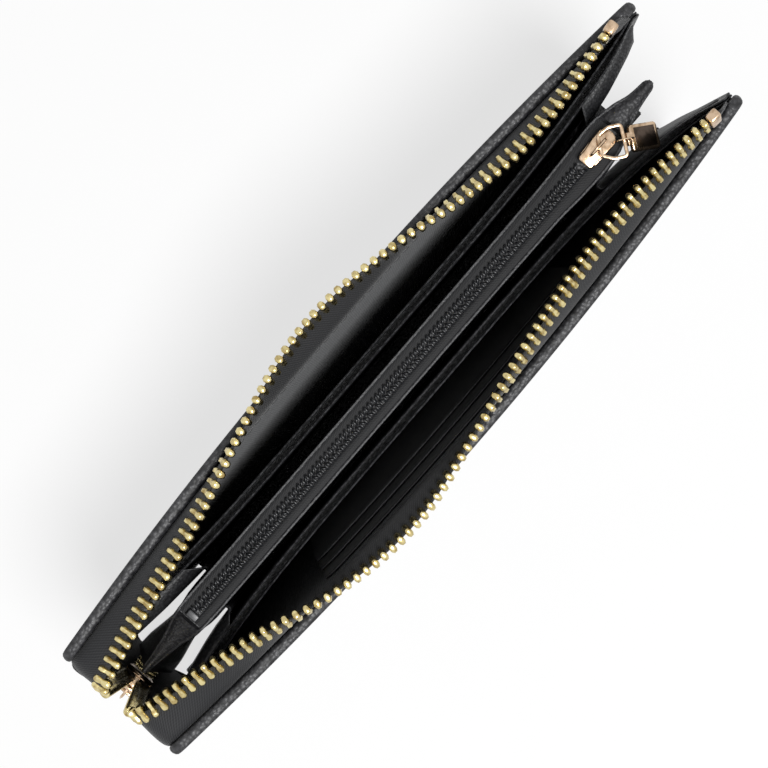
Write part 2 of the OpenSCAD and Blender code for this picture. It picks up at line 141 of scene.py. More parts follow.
# Pebbled calfskin: rounded grains with creases between; the colour is painted lighter on the grain tops as a painted
# highlight and darker in the creases as painted shade.
def leatherMaterial(name, grain, depth, base, top, roughness):
    material, t = newMaterial(name)
    place = t.node("ShaderNodeTexCoord", out=3)
    wobble = t.node("ShaderNodeTexNoise", None, {"Vector": place, "Scale": 900.0, "Detail": 1.0}, 1)
    bent = t.node("ShaderNodeVectorMath", {"operation": "MULTIPLY_ADD"},
                  {0: wobble, 1: (grain * 0.3, grain * 0.3, grain * 0.3), 2: place})
    cells = t.node("ShaderNodeTexVoronoi", {"feature": "SMOOTH_F1"},
                   {"Vector": bent, "Scale": 1 / grain, "Smoothness": 0.35, "Randomness": 0.9})
    pebble = 1 - cells * 1.1
    fine = t.noise(place, 5200.0, 3.0)
    patches = t.noise(place, 60.0, 3.0)
    # Grain height sets the colour: painted highlight on the grain tops, painted shade in the creases; the broad
    # patches are random tone.
    shade = t.ramp(pebble * 0.8 + patches * 0.4, [(0.35, base), (0.95, top)])
    rough = roughness + (1 - pebble) * 0.18 + (patches - 0.5) * 0.12
    height = pebble + fine * 0.12
    normal = t.bump(height, 0.85, depth)
    closeMaterial(t, principled(t, {
        "Base Color": shade, "Roughness": rough, "Normal": normal,
        "Specular IOR Level": 0.42, "Coat Weight": 0.0}))
    return material


# Woven cloth from the piece's own UV map, which is in metres.
def clothMaterial(name, pitchU, pitchV, slant, depth, base, top, roughness):
    material, t = newMaterial(name)
    weave = t.node("ShaderNodeUVMap", {"uv_map": "weave"})
    split = t.node("ShaderNodeSeparateXYZ", None, {0: weave})
    across = Wire(t, split.socket.node.outputs[1])
    warp = t.node("ShaderNodeMath", {"operation": "SINE"}, {0: split * (6.2832 / pitchU) + across * slant})
    weft = t.node("ShaderNodeMath", {"operation": "SINE"}, {0: across * (6.2832 / pitchV)})
    thread = warp * 0.35 + weft * 0.15 + 0.5
    place = t.node("ShaderNodeTexCoord", out=3)
    fuzz = t.noise(place, 3000.0, 3.0)
    patches = t.noise(place, 45.0, 2.0)
    height = thread + fuzz * 0.35
    # Thread height sets the colour: painted highlight on the raised threads, painted shade between them; the broad
    # patches are random tone.
    shade = t.ramp(height * 0.7 + patches * 0.35, [(0.25, base), (1.0, top)])
    normal = t.bump(height, 0.8, depth)
    closeMaterial(t, principled(t, {
        "Base Color": shade, "Roughness": roughness + (fuzz - 0.5) * 0.1, "Normal": normal,
        "Specular IOR Level": 0.3, "Sheen Weight": 0.12, "Sheen Roughness": 0.45}))
    return material


# Plated metal with faint polish marks; a darker brown tone in random patches is painted shade and painted dark
# reflection.
def metalMaterial(name, bright, paintedShadeTone, roughness, markDepth):
    material, t = newMaterial(name)
    place = t.node("ShaderNodeTexCoord", out=3)
    stretched = t.node("ShaderNodeMapping", None, {"Vector": place, "Scale": (1.0, 1.0, 0.35)})
    marks = t.noise(stretched, 5200.0, 4.0)
    paintedShadeNoise = t.noise(place, 700.0, 3.0)
    # Painted shade and dark reflection in random patches, mixed into the metal's bright colour.
    shade = t.mix(t.ramp(paintedShadeNoise, [(0.42, 0.0), (0.68, 1.0)]), bright, paintedShadeTone)
    normal = t.bump(marks, 0.35, markDepth)
    closeMaterial(t, principled(t, {
        "Base Color": shade, "Metallic": 1.0, "Roughness": roughness + marks * 0.1 + paintedShadeNoise * 0.05,
        "Normal": normal}))
    return material


def nylonMaterial(name, base, top, roughness):
    material, t = newMaterial(name)
    place = t.node("ShaderNodeTexCoord", out=3)
    fine = t.noise(place, 2500.0, 2.0)
    shade = t.ramp(fine, [(0.3, base), (0.75, top)])
    normal = t.bump(fine, 0.25, 0.00003)
    closeMaterial(t, principled(t, {
        "Base Color": shade, "Roughness": roughness + fine * 0.12, "Normal": normal,
        "Specular IOR Level": 0.5}))
    return material


coverLeather = leatherMaterial("coverLeather", 0.0010, 0.00022,
                               colour(0.006, 0.006, 0.007), colour(0.046, 0.046, 0.050), 0.38)
leafLeather = leatherMaterial("leafLeather", 0.0007, 0.00016,
                              colour(0.010, 0.010, 0.011), colour(0.082, 0.083, 0.088), 0.38)
gussetLeather = leatherMaterial("gussetLeather", 0.0007, 0.00014,
                                colour(0.005, 0.005, 0.006), colour(0.026, 0.027, 0.029), 0.42)
# A lighter copy of the leather for thin rolled edges: a painted highlight on edges that the lamp leaves in shade.
edgeHighlightLeather = leatherMaterial("edgeHighlightLeather", 0.0005, 0.00008,
                              colour(0.022, 0.022, 0.024), colour(0.078, 0.079, 0.084), 0.36)
pocketLeather = leatherMaterial("pocketLeather", 0.0008, 0.00018,
                                colour(0.006, 0.006, 0.007), colour(0.030, 0.030, 0.033), 0.40)
tapeCloth = clothMaterial("tapeCloth", 0.0007, 0.0006, 6.2832 / 0.0009, 0.00010,
                          colour(0.006, 0.0063, 0.007), colour(0.030, 0.0305, 0.033), 0.72)
coinTapeCloth = clothMaterial("coinTapeCloth", 0.0005, 0.0006, 6.2832 / 0.0007, 0.00007,
                              colour(0.003, 0.0032, 0.0036), colour(0.013, 0.013, 0.0145), 0.66)
liningCloth = clothMaterial("liningCloth", 0.00055, 0.0016, 0.0, 0.00010,
                            colour(0.030, 0.032, 0.035), colour(0.085, 0.090, 0.098), 0.70)
cardCloth = clothMaterial("cardCloth", 0.0006, 0.0006, 6.2832 / 0.0012, 0.00007,
                          colour(0.008, 0.0085, 0.010), colour(0.026, 0.027, 0.030), 0.60)
# The second colour of each metal is its painted shade and dark reflection tone.
toothMetal = metalMaterial("toothMetal", colour(0.72, 0.62, 0.32), colour(0.36, 0.26, 0.10), 0.17, 0.00002)
sliderMetal = metalMaterial("sliderMetal", colour(0.62, 0.46, 0.32), colour(0.34, 0.23, 0.14), 0.12, 0.00001)
# Dark metal for the pull tabs' faces: a painted dark reflection on the polished plates.
tabDarkReflectionMetal = metalMaterial("tabDarkReflectionMetal", colour(0.10, 0.075, 0.060), colour(0.05, 0.037, 0.028), 0.16, 0.00001)
coilNylon = nylonMaterial("coilNylon", colour(0.008, 0.0085, 0.010), colour(0.024, 0.025, 0.028), 0.28)
threadNylon = nylonMaterial("threadNylon", colour(0.012, 0.012, 0.013), colour(0.035, 0.035, 0.038), 0.45)
print("materials made")


# Mesh helpers.
def toObject(name, mesh, material):
    obj = bpy.data.objects.new(name, mesh)
    bpy.context.collection.objects.link(obj)
    if material is not None:
        mesh.materials.clear()
        mesh.materials.append(material)
    return obj


def finishMesh(mesh, angle=50):
    work = bmesh.new()
    work.from_mesh(mesh)
    bmesh.ops.remove_doubles(work, verts=work.verts, dist=1e-7)
    bmesh.ops.recalc_face_normals(work, faces=work.faces)
    work.to_mesh(mesh)
    work.free()
    mesh.shade_smooth()
    mesh.set_sharp_from_angle(angle=math.radians(angle))


# A closed skin over rows of like loops; its UV map runs in metres along and around.
def skin(name, rows, material, angle=50):
    count = len(rows[0])
    points = [Vector(p) * mm for row in rows for p in row]
    along = [0.0]
    for a, b in zip(rows, rows[1:]):
        along.append(along[-1] + sum((Vector(p) - Vector(q)).length for p, q in zip(a, b)) / count * mm)
    around = []
    for row in rows:
        lengths = [0.0]
        for j in range(count):
            step = (Vector(row[(j + 1) % count]) - Vector(row[j])).length * mm
            lengths.append(lengths[-1] + step)
        around.append(lengths)
    faces, places = [], []
    for i in range(len(rows) - 1):
        for j in range(count):
            k = (j + 1) % count
            faces.append((i * count + j, (i + 1) * count + j, (i + 1) * count + k, i * count + k))
            places.append(((along[i], around[i][j]), (along[i + 1], around[i + 1][j]),
                           (along[i + 1], around[i + 1][j + 1]), (along[i], around[i][j + 1])))
    for i, order in ((0, range(count)), (len(rows) - 1, range(count - 1, -1, -1))):
        centre = sum((Vector(p) for p in rows[i]), Vector()) / count * mm
        points.append(centre)
        for j in order:
            k = (j + 1) % count
            faces.append((i * count + j, i * count + k, len(points) - 1))
            places.append(((along[i], around[i][j]), (along[i], around[i][k]), (along[i], 0.0)))
    mesh = bpy.data.meshes.new(name)
    mesh.from_pydata(points, [], faces)
    layer = mesh.uv_layers.new(name="weave")
    for face, corners in zip(mesh.polygons, places):
        for loop, uv in zip(face.loop_indices, corners):
            layer.data[loop].uv = uv
    finishMesh(mesh, angle)
    return toObject(name, mesh, material)


def lerp(a, b, t):
    return a + (b - a) * t


def steps(a, b, n):
    return [lerp(a, b, i / n) for i in range(n + 1)]


def bezier(a, b, c, d, t):
    s = 1 - t
    return a * s ** 3 + b * 3 * s * s * t + c * 3 * s * t * t + d * t ** 3


# Smooth curve through a few knots, level at each end.
def smooth(knots, x):
    if x <= knots[0][0]:
        return knots[0][1]
    if x >= knots[-1][0]:
        return knots[-1][1]
    i = max(k for k in range(len(knots) - 1) if knots[k][0] <= x)
    a, b, c, d = knots[max(i - 1, 0)], knots[i], knots[i + 1], knots[min(i + 2, len(knots) - 1)]
    w = c[0] - b[0]
    t = (x - b[0]) / w
    m0, m1 = (c[1] - a[1]) / (c[0] - a[0]) * w, (d[1] - b[1]) / (d[0] - b[0]) * w
    return ((2 * t ** 3 - 3 * t * t + 1) * b[1] + (t ** 3 - 2 * t * t + t) * m0
            + (3 * t * t - 2 * t ** 3) * c[1] + (t ** 3 - t * t) * m1)


# A closed loop of even thickness round a line of points, with round ends.
def thicken(line, thickness, across=None):
    half = thickness / 2
    near, far = [], []
    for i, p in enumerate(line):
        before, after = line[max(i - 1, 0)], line[min(i + 1, len(line) - 1)]
        way = (after - before).normalized()
        side = way.cross(across).normalized() * half
        near.append(p + side)
        far.append(p - side)
    first, last = (line[0] - line[1]).normalized() * half * 0.7, (line[-1] - line[-2]).normalized() * half * 0.7
    return near + [line[-1] + last] + far[::-1] + [line[0] + first]


def mirrorSide(side, rows):
    if side == "back":
        return rows
    return [[(p[0], -p[1], p[2]) for p in row] for row in rows]


def settle(obj, body, nodes=()):
    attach(obj, body)
    if nodes:
        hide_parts(*nodes)
    return obj


# Geometry trees.
def geometryTree(name, inputs):
    group = bpy.data.node_groups.new(name, "GeometryNodeTree")
    group.interface.new_socket(name="Geometry", in_out="INPUT", socket_type="NodeSocketGeometry")
    for label, kind in inputs:
        group.interface.new_socket(name=label, in_out="INPUT", socket_type=kind)
    group.interface.new_socket(name="Geometry", in_out="OUTPUT", socket_type="NodeSocketGeometry")
    tree = Tree(group)
    entry = tree.node("NodeGroupInput").socket.node
    wires = {socket.name: Wire(tree, socket) for socket in entry.outputs if socket.name}
    return group, tree, wires


def grow(name, mesh, group, values, material):
    holder = toObject(name + "Points", mesh, None)
    modifier = holder.modifiers.new("grow", "NODES")
    modifier.node_group = group
    names = {item.name: item.identifier for item in group.interface.items_tree
             if item.in_out == "INPUT"}
    for label, value in values.items():
        modifier[names[label]] = value
    modifier[names["Material"]] = material
    shown = holder.evaluated_get(bpy.context.evaluated_depsgraph_get())
    result = bpy.data.meshes.new_from_object(shown)
    result.name = name
    bpy.data.objects.remove(holder)
    return toObject(name, result, material)


# Sets one shape at every point, turned by the point's own "facing".
def scatterGroup():
    group, t, given = geometryTree("setInRow", [
        ("Piece", "NodeSocketObject"), ("Width", "NodeSocketFloat"), ("Length", "NodeSocketFloat"),
        ("Height", "NodeSocketFloat"), ("Unevenness", "NodeSocketFloat"), ("Seed", "NodeSocketInt"),
        ("Material", "NodeSocketMaterial")])
    facing = t.node("GeometryNodeInputNamedAttribute", {"data_type": "FLOAT_VECTOR"}, {"Name": "facing"})
    turn = t.node("FunctionNodeEulerToRotation", None, {0: facing})
    shape = t.node("GeometryNodeObjectInfo", {"transform_space": "ORIGINAL"}, {0: given["Piece"]})
    shape = Wire(t, shape.socket.node.outputs["Geometry"])
    chance = t.node("FunctionNodeRandomValue", {"data_type": "FLOAT"}, {"Seed": given["Seed"]}, 1)
    swell = t.node("ShaderNodeMath", {"operation": "MULTIPLY_ADD"},
                   {0: chance, 1: given["Unevenness"], 2: 1.0})
    size = t.node("ShaderNodeCombineXYZ", None,
                  {0: given["Width"] * swell, 1: given["Length"], 2: given["Height"]})
    placed = t.node("GeometryNodeInstanceOnPoints", None, {
        "Points": given["Geometry"], "Instance": shape, "Rotation": turn, "Scale": size})
    real = t.node("GeometryNodeRealizeInstances", None, {0: placed})
    painted = t.node("GeometryNodeSetMaterial", None, {"Geometry": real, "Material": given["Material"]})
    t.node("NodeGroupOutput", None, {0: painted})
    return group


# Runs a round rod along the edges of a mesh path.
def rodGroup():
    group, t, given = geometryTree("rodAlong", [
        ("Radius", "NodeSocketFloat"), ("Sides", "NodeSocketInt"), ("Material", "NodeSocketMaterial")])
    path = t.node("GeometryNodeMeshToCurve", None, {0: given["Geometry"]})
    ring = t.node("GeometryNodeCurvePrimitiveCircle", None,
                  {"Resolution": given["Sides"], "Radius": given["Radius"]})
    rod = t.node("GeometryNodeCurveToMesh", None, {"Curve": path, "Profile Curve": ring, "Fill Caps": True})
    soft = t.node("GeometryNodeSetShadeSmooth", None, {0: rod})
    real = t.node("GeometryNodeRealizeInstances", None, {0: soft})
    painted = t.node("GeometryNodeSetMaterial", None, {"Geometry": real, "Material": given["Material"]})
    t.node("NodeGroupOutput", None, {0: painted})
    return group


scatter = scatterGroup()
rodTree = rodGroup()


def scatterRow(name, places, shape, material, width=1.0, length=1.0, height=1.0, unevenness=0.0, seed=3):
    mesh = bpy.data.meshes.new(name + "Row")
    mesh.from_pydata([place * mm for place, turn in places], [], [])
    facing = mesh.attributes.new("facing", "FLOAT_VECTOR", "POINT")
    for i, (place, turn) in enumerate(places):
        facing.data[i].vector = turn.to_euler()
    pattern = toObject(name + "Shape", shape, None)
    made = grow(name, mesh, scatter, {
        "Piece": pattern, "Width": width, "Length": length, "Height": height,
        "Unevenness": unevenness, "Seed": seed}, material)
    bpy.data.objects.remove(pattern)
    made.data.shade_smooth()
    made.data.set_sharp_from_angle(angle=math.radians(48))
    return made


def rod(name, points, radius, material, sides=8, closed=False):
    mesh = bpy.data.meshes.new(name + "Path")
    edges = [(i, i + 1) for i in range(len(points) - 1)] + ([(len(points) - 1, 0)] if closed else [])
    mesh.from_pydata([Vector(p) * mm for p in points], edges, [])
    made = grow(name, mesh, rodTree, {"Radius": radius * mm, "Sides": sides}, material)
    finishMesh(made.data, 80)
    return made


def frameTurn(alongChain, towardTape):
    x = alongChain.normalized()
    z = x.cross(towardTape).normalized()
    y = z.cross(x)
    return Matrix((x, y, z)).transposed()


# The wallet's own shape.
wallet = {"halfLength": 97.5, "coverTop": 98.0, "spineHalf": 13.0, "splay": {"back": 3.5, "front": 5.0},
          "midBow": 5.0, "wall": 2.7, "bottom": 2.2, "leafGap": {"back": 7.3, "front": 6.25},
          "leafThickness": 2.3, "leafTop": 89.0, "leafGroove": 8.0, "leafContact": 95.0}
halfLength, coverTop, wall = wallet["halfLength"], wallet["coverTop"], wallet["wall"]


# Distance from the middle plane to a cover's outer face.
def coverY(side, x, z):
    s = x / halfLength
    return wallet["spineHalf"] + z / coverTop * (wallet["splay"][side] + wallet["midBow"] * (1 - s * s))


# Two thicknesses of leather with a gap between, pressed together towards the ends.
def leafWidth(x):
    return wallet["leafThickness"] - 1.1 * min(1.0, max(0.0, (abs(x) - 82) / 12)) ** 1.3


# Distance from the middle plane to a leaf's inner face.
def leafY(side, x, z):
    s = min(1.0, abs(x) / wallet["leafContact"])
    atEnd = coverY(side, x, z) - wall + 0.02 - leafWidth(x)
    gap = wallet["leafGap"][side]
    return gap + (atEnd - gap) * s ** 5


# Covers.
coverShape = {"cornerRadius": 3.5, "endRound": 1.3, "turnIn": 2.6, "skinThickness": 1.2, "columns": 84}


# Height of the cover's edge, lower where the top corners are rounded.
def coverEdge(x):
    r = coverShape["cornerRadius"]
    d = abs(x) - (halfLength - r)
    return coverTop if d <= 0 else coverTop - r + math.sqrt(max(r * r - d * d, 0.0))


def endColumns(half, count, fine):
    inner = steps(-half + fine, half - fine, count)
    bends = [fine * (1 - math.sin(math.radians(a))) for a in (15, 30, 45, 60, 75, 90)]
    return [-half + b for b in bends[::-1]] + inner + [half - b for b in bends]


def makeCover(side):
    roundOff = coverShape["endRound"]
    rows = []
    for x in endColumns(halfLength, coverShape["columns"], coverShape["cornerRadius"]):
        top = coverEdge(x)
        d = max(0.0, abs(x) - (halfLength - roundOff)) / roundOff
        thin = math.sqrt(max(1 - d * d, 0.0)) * 0.97 + 0.03
        mid = wall / 2

        def place(inset, z):
            return (x, coverY(side, x, z) - (mid + (inset - mid) * thin), z)
        row = [place(0.0, z) for z in steps(wallet["bottom"], top - 1.1, 9)]
        for a in range(1, 10):
            angle = math.pi * a / 10
            inset = mid - mid * math.copysign(abs(math.cos(angle)) ** 0.75, math.cos(angle))
            row.append(place(inset, top - 1.1 + 1.1 * math.sin(angle) ** 0.75))
        row += [place(wall, top - 1.1), place(wall, top - 1.9), place(wall - 0.15, top - 2.5),
                place(coverShape["skinThickness"], top - 2.7)]
        row += [place(coverShape["skinThickness"], z) for z in steps(top - 20, wallet["bottom"], 3)]
        rows.append(row)
    made = skin(side + "Cover", mirrorSide(side, rows), coverLeather)
    return settle(made, side + "_half", [side + "_cover", side + "_board"])


def makeLining(side):
    rows = []
    for x in steps(-96.2, 96.2, 60):
        top = min(95.4, coverEdge(x) - 2.4)
        line = [Vector((x, coverY(side, x, z) - wall + 0.25, z)) for z in steps(wallet["bottom"], top, 8)]
        rows.append([tuple(p) for p in thicken(line, 0.4, Vector((1, 0, 0)))])
    made = skin(side + "Lining", mirrorSide(side, rows), liningCloth)
    return settle(made, side + "_half", [side + "_lining"])


# Leaves: two folded edges side by side with a stitched groove between.
def leafTop(x):
    rise = min(1.0, max(0.0, (x - 80) / 15))
    drop = min(1.0, max(0.0, (-x - 88) / 8))
    return wallet["leafTop"] + 5.6 * rise * rise * (3 - 2 * rise) - 1.2 * drop


def makeLeaf(side):
    rows = []
    bead = [(0.0, -0.75), (0.02, -0.40), (0.11, -0.13), (0.27, 0.0), (0.43, -0.13), (0.52, -0.40), (0.55, -0.9)]
    for x in steps(-96.2, 96.7, 120):
        top, width, base = leafTop(x), leafWidth(x), wallet["bottom"]
        low = top - wallet["leafGroove"]
        profile = [(0.0, z) for z in steps(base, top - 1.2, 8)] + [(n, top + z) for n, z in bead]
        profile += [(0.56, z) for z in steps(top - 2.5, low, 3)]
        profile += [(width - 0.56, z) for z in steps(low, top - 2.5, 3)]
        profile += [(width - n, top - 0.1 + z) for n, z in bead[::-1]]
        profile += [(width, z) for z in steps(top - 1.3, base, 8)]
        rows.append([(x, leafY(side, x, z) + n, z) for n, z in profile])
    made = skin(side + "Leaf", mirrorSide(side, rows), leafLeather)
    return settle(made, side + "_half", [side + "_leaf"])


for side in ("back", "front"):
    makeCover(side)
    makeLining(side)
    makeLeaf(side)
print("covers, linings and leaves made")


# Card panels.
cardShape = {"halfWidth": 46.0, "top": 87.0, "step": 9.0, "thickness": 0.7, "first": wall + 0.15,
             "fold": 0.36}


def makeCardPanel(number):
    inset = cardShape["first"] + (number - 1) * (cardShape["thickness"] + 0.3)
    top = cardShape["top"] - (number - 1) * cardShape["step"]
    rows, ridge = [], []
    for x in steps(-cardShape["halfWidth"], cardShape["halfWidth"], 48):
        s = abs(x) / cardShape["halfWidth"]
        edge = top - 1.6 * max(0.0, s - 0.94) / 0.06
        need = 6.5 + 1.7 + 0.6 + inset + 0.7 - 13
        low = max(3.2, need * 98 / (5 + 5 * (1 - (46 / 97.5) ** 2))) + 2
        line = [(0.0, z) for z in steps(low, edge - 1.3, 8)]
        r = cardShape["fold"]
        loop = [(n + 0.7, z) for n, z in line]
        loop += [(0.35 + r * math.cos(a), edge - r + r * math.sin(a))
                 for a in [math.radians(d) for d in (-25, 10, 45, 80, 115, 150, 190, 215)]]
        loop += line[::-1]
        rows.append([(x, -(coverY("front", x, z) - inset - n), z) for n, z in loop])
        ridge.append((x, -(coverY("front", x, edge) - inset - 0.35), edge + 0.02))
    # A thin rod along the panel's folded top in the lighter edge leather: a painted highlight on the fold.
    rolled = rod("cardEdge%d" % number, ridge, 0.27, edgeHighlightLeather)
    settle(rolled, "front_half")
    made = skin("cardPanel%d" % number, rows, cardCloth)
    return settle(made, "front_half", ["card_panel_%d" % number])


for number in (1, 2, 3):
    makeCardPanel(number)


# Spine.
spine = {"columns": [-97.5, -77.5, -73.5, 75.5, 92.0, 97.5], "rows": [-12.2, -8.6, -3.2, 3.2, 8.6, 12.2],
         "open": {(0, 1), (0, 3), (1, 3), (3, 1), (4, 1), (4, 3)}, "thickness": 1.4}


# The strip under the wallet, left open where the gussets fold down at its ends.
def makeSpine():
    work = bmesh.new()
    corners = [[work.verts.new((x * mm, y * mm, 0.0)) for y in spine["rows"]] for x in spine["columns"]]
    for i in range(5):
        for j in range(5):
            if (i, j) not in spine["open"]:
                work.faces.new((corners[i][j], corners[i + 1][j], corners[i + 1][j + 1], corners[i][j + 1]))
    grown = bmesh.ops.extrude_face_region(work, geom=work.faces[:])
    bmesh.ops.translate(work, vec=(0, 0, 1.4 * mm),
                        verts=[g for g in grown["geom"] if isinstance(g, bmesh.types.BMVert)])
    bmesh.ops.recalc_face_normals(work, faces=work.faces)
    sharp = [e for e in work.edges if e.calc_face_angle(0) > 0.5]
    bmesh.ops.bevel(work, geom=sharp, offset=0.25 * mm, segments=2, affect="EDGES")
    mesh = bpy.data.meshes.new("spineLeather")
    work.to_mesh(mesh)
    work.free()
    finishMesh(mesh)
    made = toObject("spineLeather", mesh, coverLeather)
    return settle(made, "core", ["spine_strip", "spine_board"])


# Leather that turns from under the spine up to a cover.
def makeSpineFold(side):
    line = [(11.0, 0.45), (12.0, 0.45), (12.45, 0.6), (12.62, 1.0), (12.66, 1.6), (12.70, 2.3)]
    rows = []
    for x in steps(-halfLength, halfLength, 40):
        rows.append([tuple(p) for p in thicken([Vector((x, y, z)) for y, z in line], 0.88, Vector((1, 0, 0)))])
    made = skin(side + "SpineFold", mirrorSide(side, rows), coverLeather)
    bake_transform(made)
    return made


makeSpine()
for side in ("back", "front"):
    makeSpineFold(side)
print("card panels and spine made")


# Coin pocket.
pocket = {
    "top": 91.0, "floor": 2.35, "from": -93.0, "to": 88.0, "bead": 0.42, "tapeInner": 1.5,
    "foot": {"back": 5.3, "front": 5.9}, "footSlide": 4.5, "ridgeDrop": 25.0,
    "back": [[-93, 0.8], [-88, 1.2], [-80, 2.2], [-74, 3.6], [-60, 3.8], [0, 3.9], [50, 4.2], [62, 4.6],
             [72, 5.0], [78, 4.0], [82, 2.7], [88, 2.0]],
    "front": [[-93, 0.8], [-88, 1.2], [-80, 2.3], [-74, 3.7], [-60, 4.0], [0, 4.0], [50, 4.2], [58, 4.7],
              [66, 4.8], [73, 3.9], [78, 2.2], [82, 1.3], [88, 0.6]],
}


# The pocket's top is level along the zip; the left end falls away like a tent.
def pocketTop(x):
    if x > 74:
        return 91.2 - 1.4 * ((x - 74) / 14) ** 2
    if x < -73:
        return 91.8 - pocket["ridgeDrop"] * ((-73 - x) / 20) ** 1.2
    return 91.0


def makePocket():
    rows = []
    xs = [-93.0, -92.8, -92.3, -91.4] + steps(-90, -75, 14) + [-74, -73.4, -72.9, -72.3, -71.5]
    xs += steps(-70, 70, 56) + [72, 73.2, 73.8, 74.4] + steps(75.5, 85, 10) + [86.5, 87.3, 87.8, 88.0]
    for x in xs:
        b, f, top = smooth(pocket["back"], x), smooth(pocket["front"], x), pocketTop(x)
        tipEnd = max(0.0, x - 86.5, -91.5 - x) / 1.5
        thin = math.sqrt(max(1 - tipEnd * tipEnd, 0.0)) * 0.95 + 0.05
        mid = (b - f) / 2
        b, f = mid + (b - mid) * thin, -(mid - (f + mid) * thin)
        inside = 1.0 if -72.9 <= x <= 73.8 else 0.0
        ridge = 1.0 - inside
        bead = pocket["bead"]
        tent = min(1.0, max(0.0, (-74 - x) / 17))

        def flank(half, sign, z):
            spread = min(1.0, max(0.0, (top - z) / 42)) * tent
            foot = pocket["foot"]["back" if sign > 0 else "front"]
            return (x - pocket["footSlide"] * spread, sign * (half + (foot - half) * spread * thin), z)
        row = [flank(f, -1, z) for z in steps(pocket["floor"], top - 0.9, 8)]
        for a in (150, 110, 70, 30):
            c, s = math.cos(math.radians(a)), math.sin(math.radians(a))
            row.append((x, -f + bead + bead * c - 0.05, top + 0.25 + bead * s * 1.2 * inside + ridge * 0.25 * s))
        for u in steps(0.12, 0.88, 6):
            y = lerp(-f, b, u)
            dip = -0.12 * inside + ridge * (0.3 + 0.9 * math.sin(math.pi * u) ** 1.3)
            row.append((x, y, top + dip))
        for a in (150, 110, 70, 30):
            c, s = math.cos(math.radians(a)), math.sin(math.radians(a))
            row.append((x, b - bead + bead * c + 0.05, top + 0.25 + bead * s * 1.2 * inside + ridge * 0.25 * s))
        row += [flank(b, 1, z) for z in steps(top - 0.9, pocket["floor"], 8)]
        rows.append(row)
    made = skin("coinPocket", rows, pocketLeather, 60)
    for side, sign in (("back", 1), ("front", -1)):
        # Thin rods along the pocket's lips in the lighter edge leather: a painted highlight on each lip.
        lip = [(x, sign * (smooth(pocket[side], x) - 0.22), 91.5) for x in steps(-72.6, 73.6, 60)]
        settle(rod("coinLip_" + side, lip, 0.25, edgeHighlightLeather), "core")
    return settle(made, "core", [
        "coin_wall_front", "coin_wall_back", "coin_pocket_floor", "coin_end_left", "coin_end_right"])


def makeCoinTape(side):
    rows = []
    for x in steps(-72.6, 73.6, 60):
        outer = smooth(pocket["back" if side == "back" else "front"], x) - 0.75
        line = [Vector((x, y, 91.25 + 0.16 * math.sin(math.pi * i / 6)))
                for i, y in enumerate(steps(pocket["tapeInner"], outer, 6))]
        rows.append([tuple(p) for p in thicken(line, 0.45, Vector((1, 0, 0)))])
    made = skin("coinTape_" + side, mirrorSide(side, rows), coinTapeCloth)
    return settle(made, "core", ["coin_tape_" + side])


coil = {"pitch": 1.35, "radius": 0.27, "halfWidth": 0.62, "halfHeight": 0.5, "axisY": 0.80, "axisZ": 92.42,
        "from": -70.5, "to": 62.2}


def makeCoil(side):
    s = 1 if side == "back" else -1
    turns = (coil["to"] - coil["from"]) / coil["pitch"]
    points = []
    for i in range(int(turns * 12)):
        a = 2 * math.pi * i / 12
        x = coil["from"] + coil["pitch"] * i / 12 + (0.0 if side == "back" else coil["pitch"] / 2)
        lean = 0.30 * math.cos(a)
        points.append((x + lean, s * (coil["axisY"] + coil["halfWidth"] * math.cos(a)),
                       coil["axisZ"] + coil["halfHeight"] * math.sin(a)))
    made = rod("coinCoil_" + side, points, coil["radius"], coilNylon, 6)
    return settle(made, "core", ["coin_coil_" + side])


def roundedBlock(name, centre, size, bevel, material, turn=None, segments=3):
    work = bmesh.new()
    bmesh.ops.create_cube(work, size=1.0)
    bmesh.ops.scale(work, vec=Vector(size) * mm, verts=work.verts)
    bmesh.ops.bevel(work, geom=work.edges[:], offset=bevel * mm, segments=segments, affect="EDGES",
                    profile=0.6)
    matrix = Matrix.Translation(Vector(centre) * mm) @ (turn.to_4x4() if turn else Matrix.Identity(4))
    bmesh.ops.transform(work, matrix=matrix, verts=work.verts)
    mesh = bpy.data.meshes.new(name)
    work.to_mesh(mesh)
    work.free()
    finishMesh(mesh)
    return toObject(name, mesh, material)


makePocket()
for side in ("back", "front"):
    makeCoinTape(side)
    makeCoil(side)
settle(roundedBlock("coinZipStop", (-71.6, 0, 92.3), (1.8, 3.0, 1.3), 0.35, coilNylon), "core",
       ["coin_zip_stops"])
print("coin pocket made")


# Main zip.
# Knots are [share of half the length, distance from the middle plane].
mainZip = {
    "back": [[-1, 5], [-0.84, 8.3], [-0.58, 12.9], [-0.36, 17.8], [-0.16, 22],
             [0, 22.8], [0.2, 19.9], [0.4, 15.6], [0.6, 13], [0.93, 15.3]],
    "front": [[-1, 5.6], [-0.87, 8.5], [-0.67, 13.7], [-0.52, 18.6], [-0.36, 22.4],
              [-0.2, 23.5], [-0.04, 21.4], [0.2, 17.6], [0.46, 14.3], [0.67, 13.5], [0.93, 15.1]],
    "seamZ": 95.9, "reach": 9.0, "tapeThickness": 0.6, "pitch": 2.5, "toothLength": 4.4,
    "cornerX": -92.0, "cornerRadius": 5.0, "sliderZ": 30.0, "topX": 85.3, "stopX": 87.9,
    "leanLow": -103.0, "leanTop": -97.0, "leanTopZ": 95.0, "footX": -98.7, "closedTop": 24.1,
}


def seamY(side, x):
    return coverY(side, x, mainZip["seamZ"]) - wall - 0.1


def runY(side, x):
    return smooth(mainZip[side], x / halfLength)


def runZ(side, x):
    d = runY(side, x) - seamY(side, x)
    return mainZip["seamZ"] + math.sqrt(max(mainZip["reach"] ** 2 - d * d, 4))


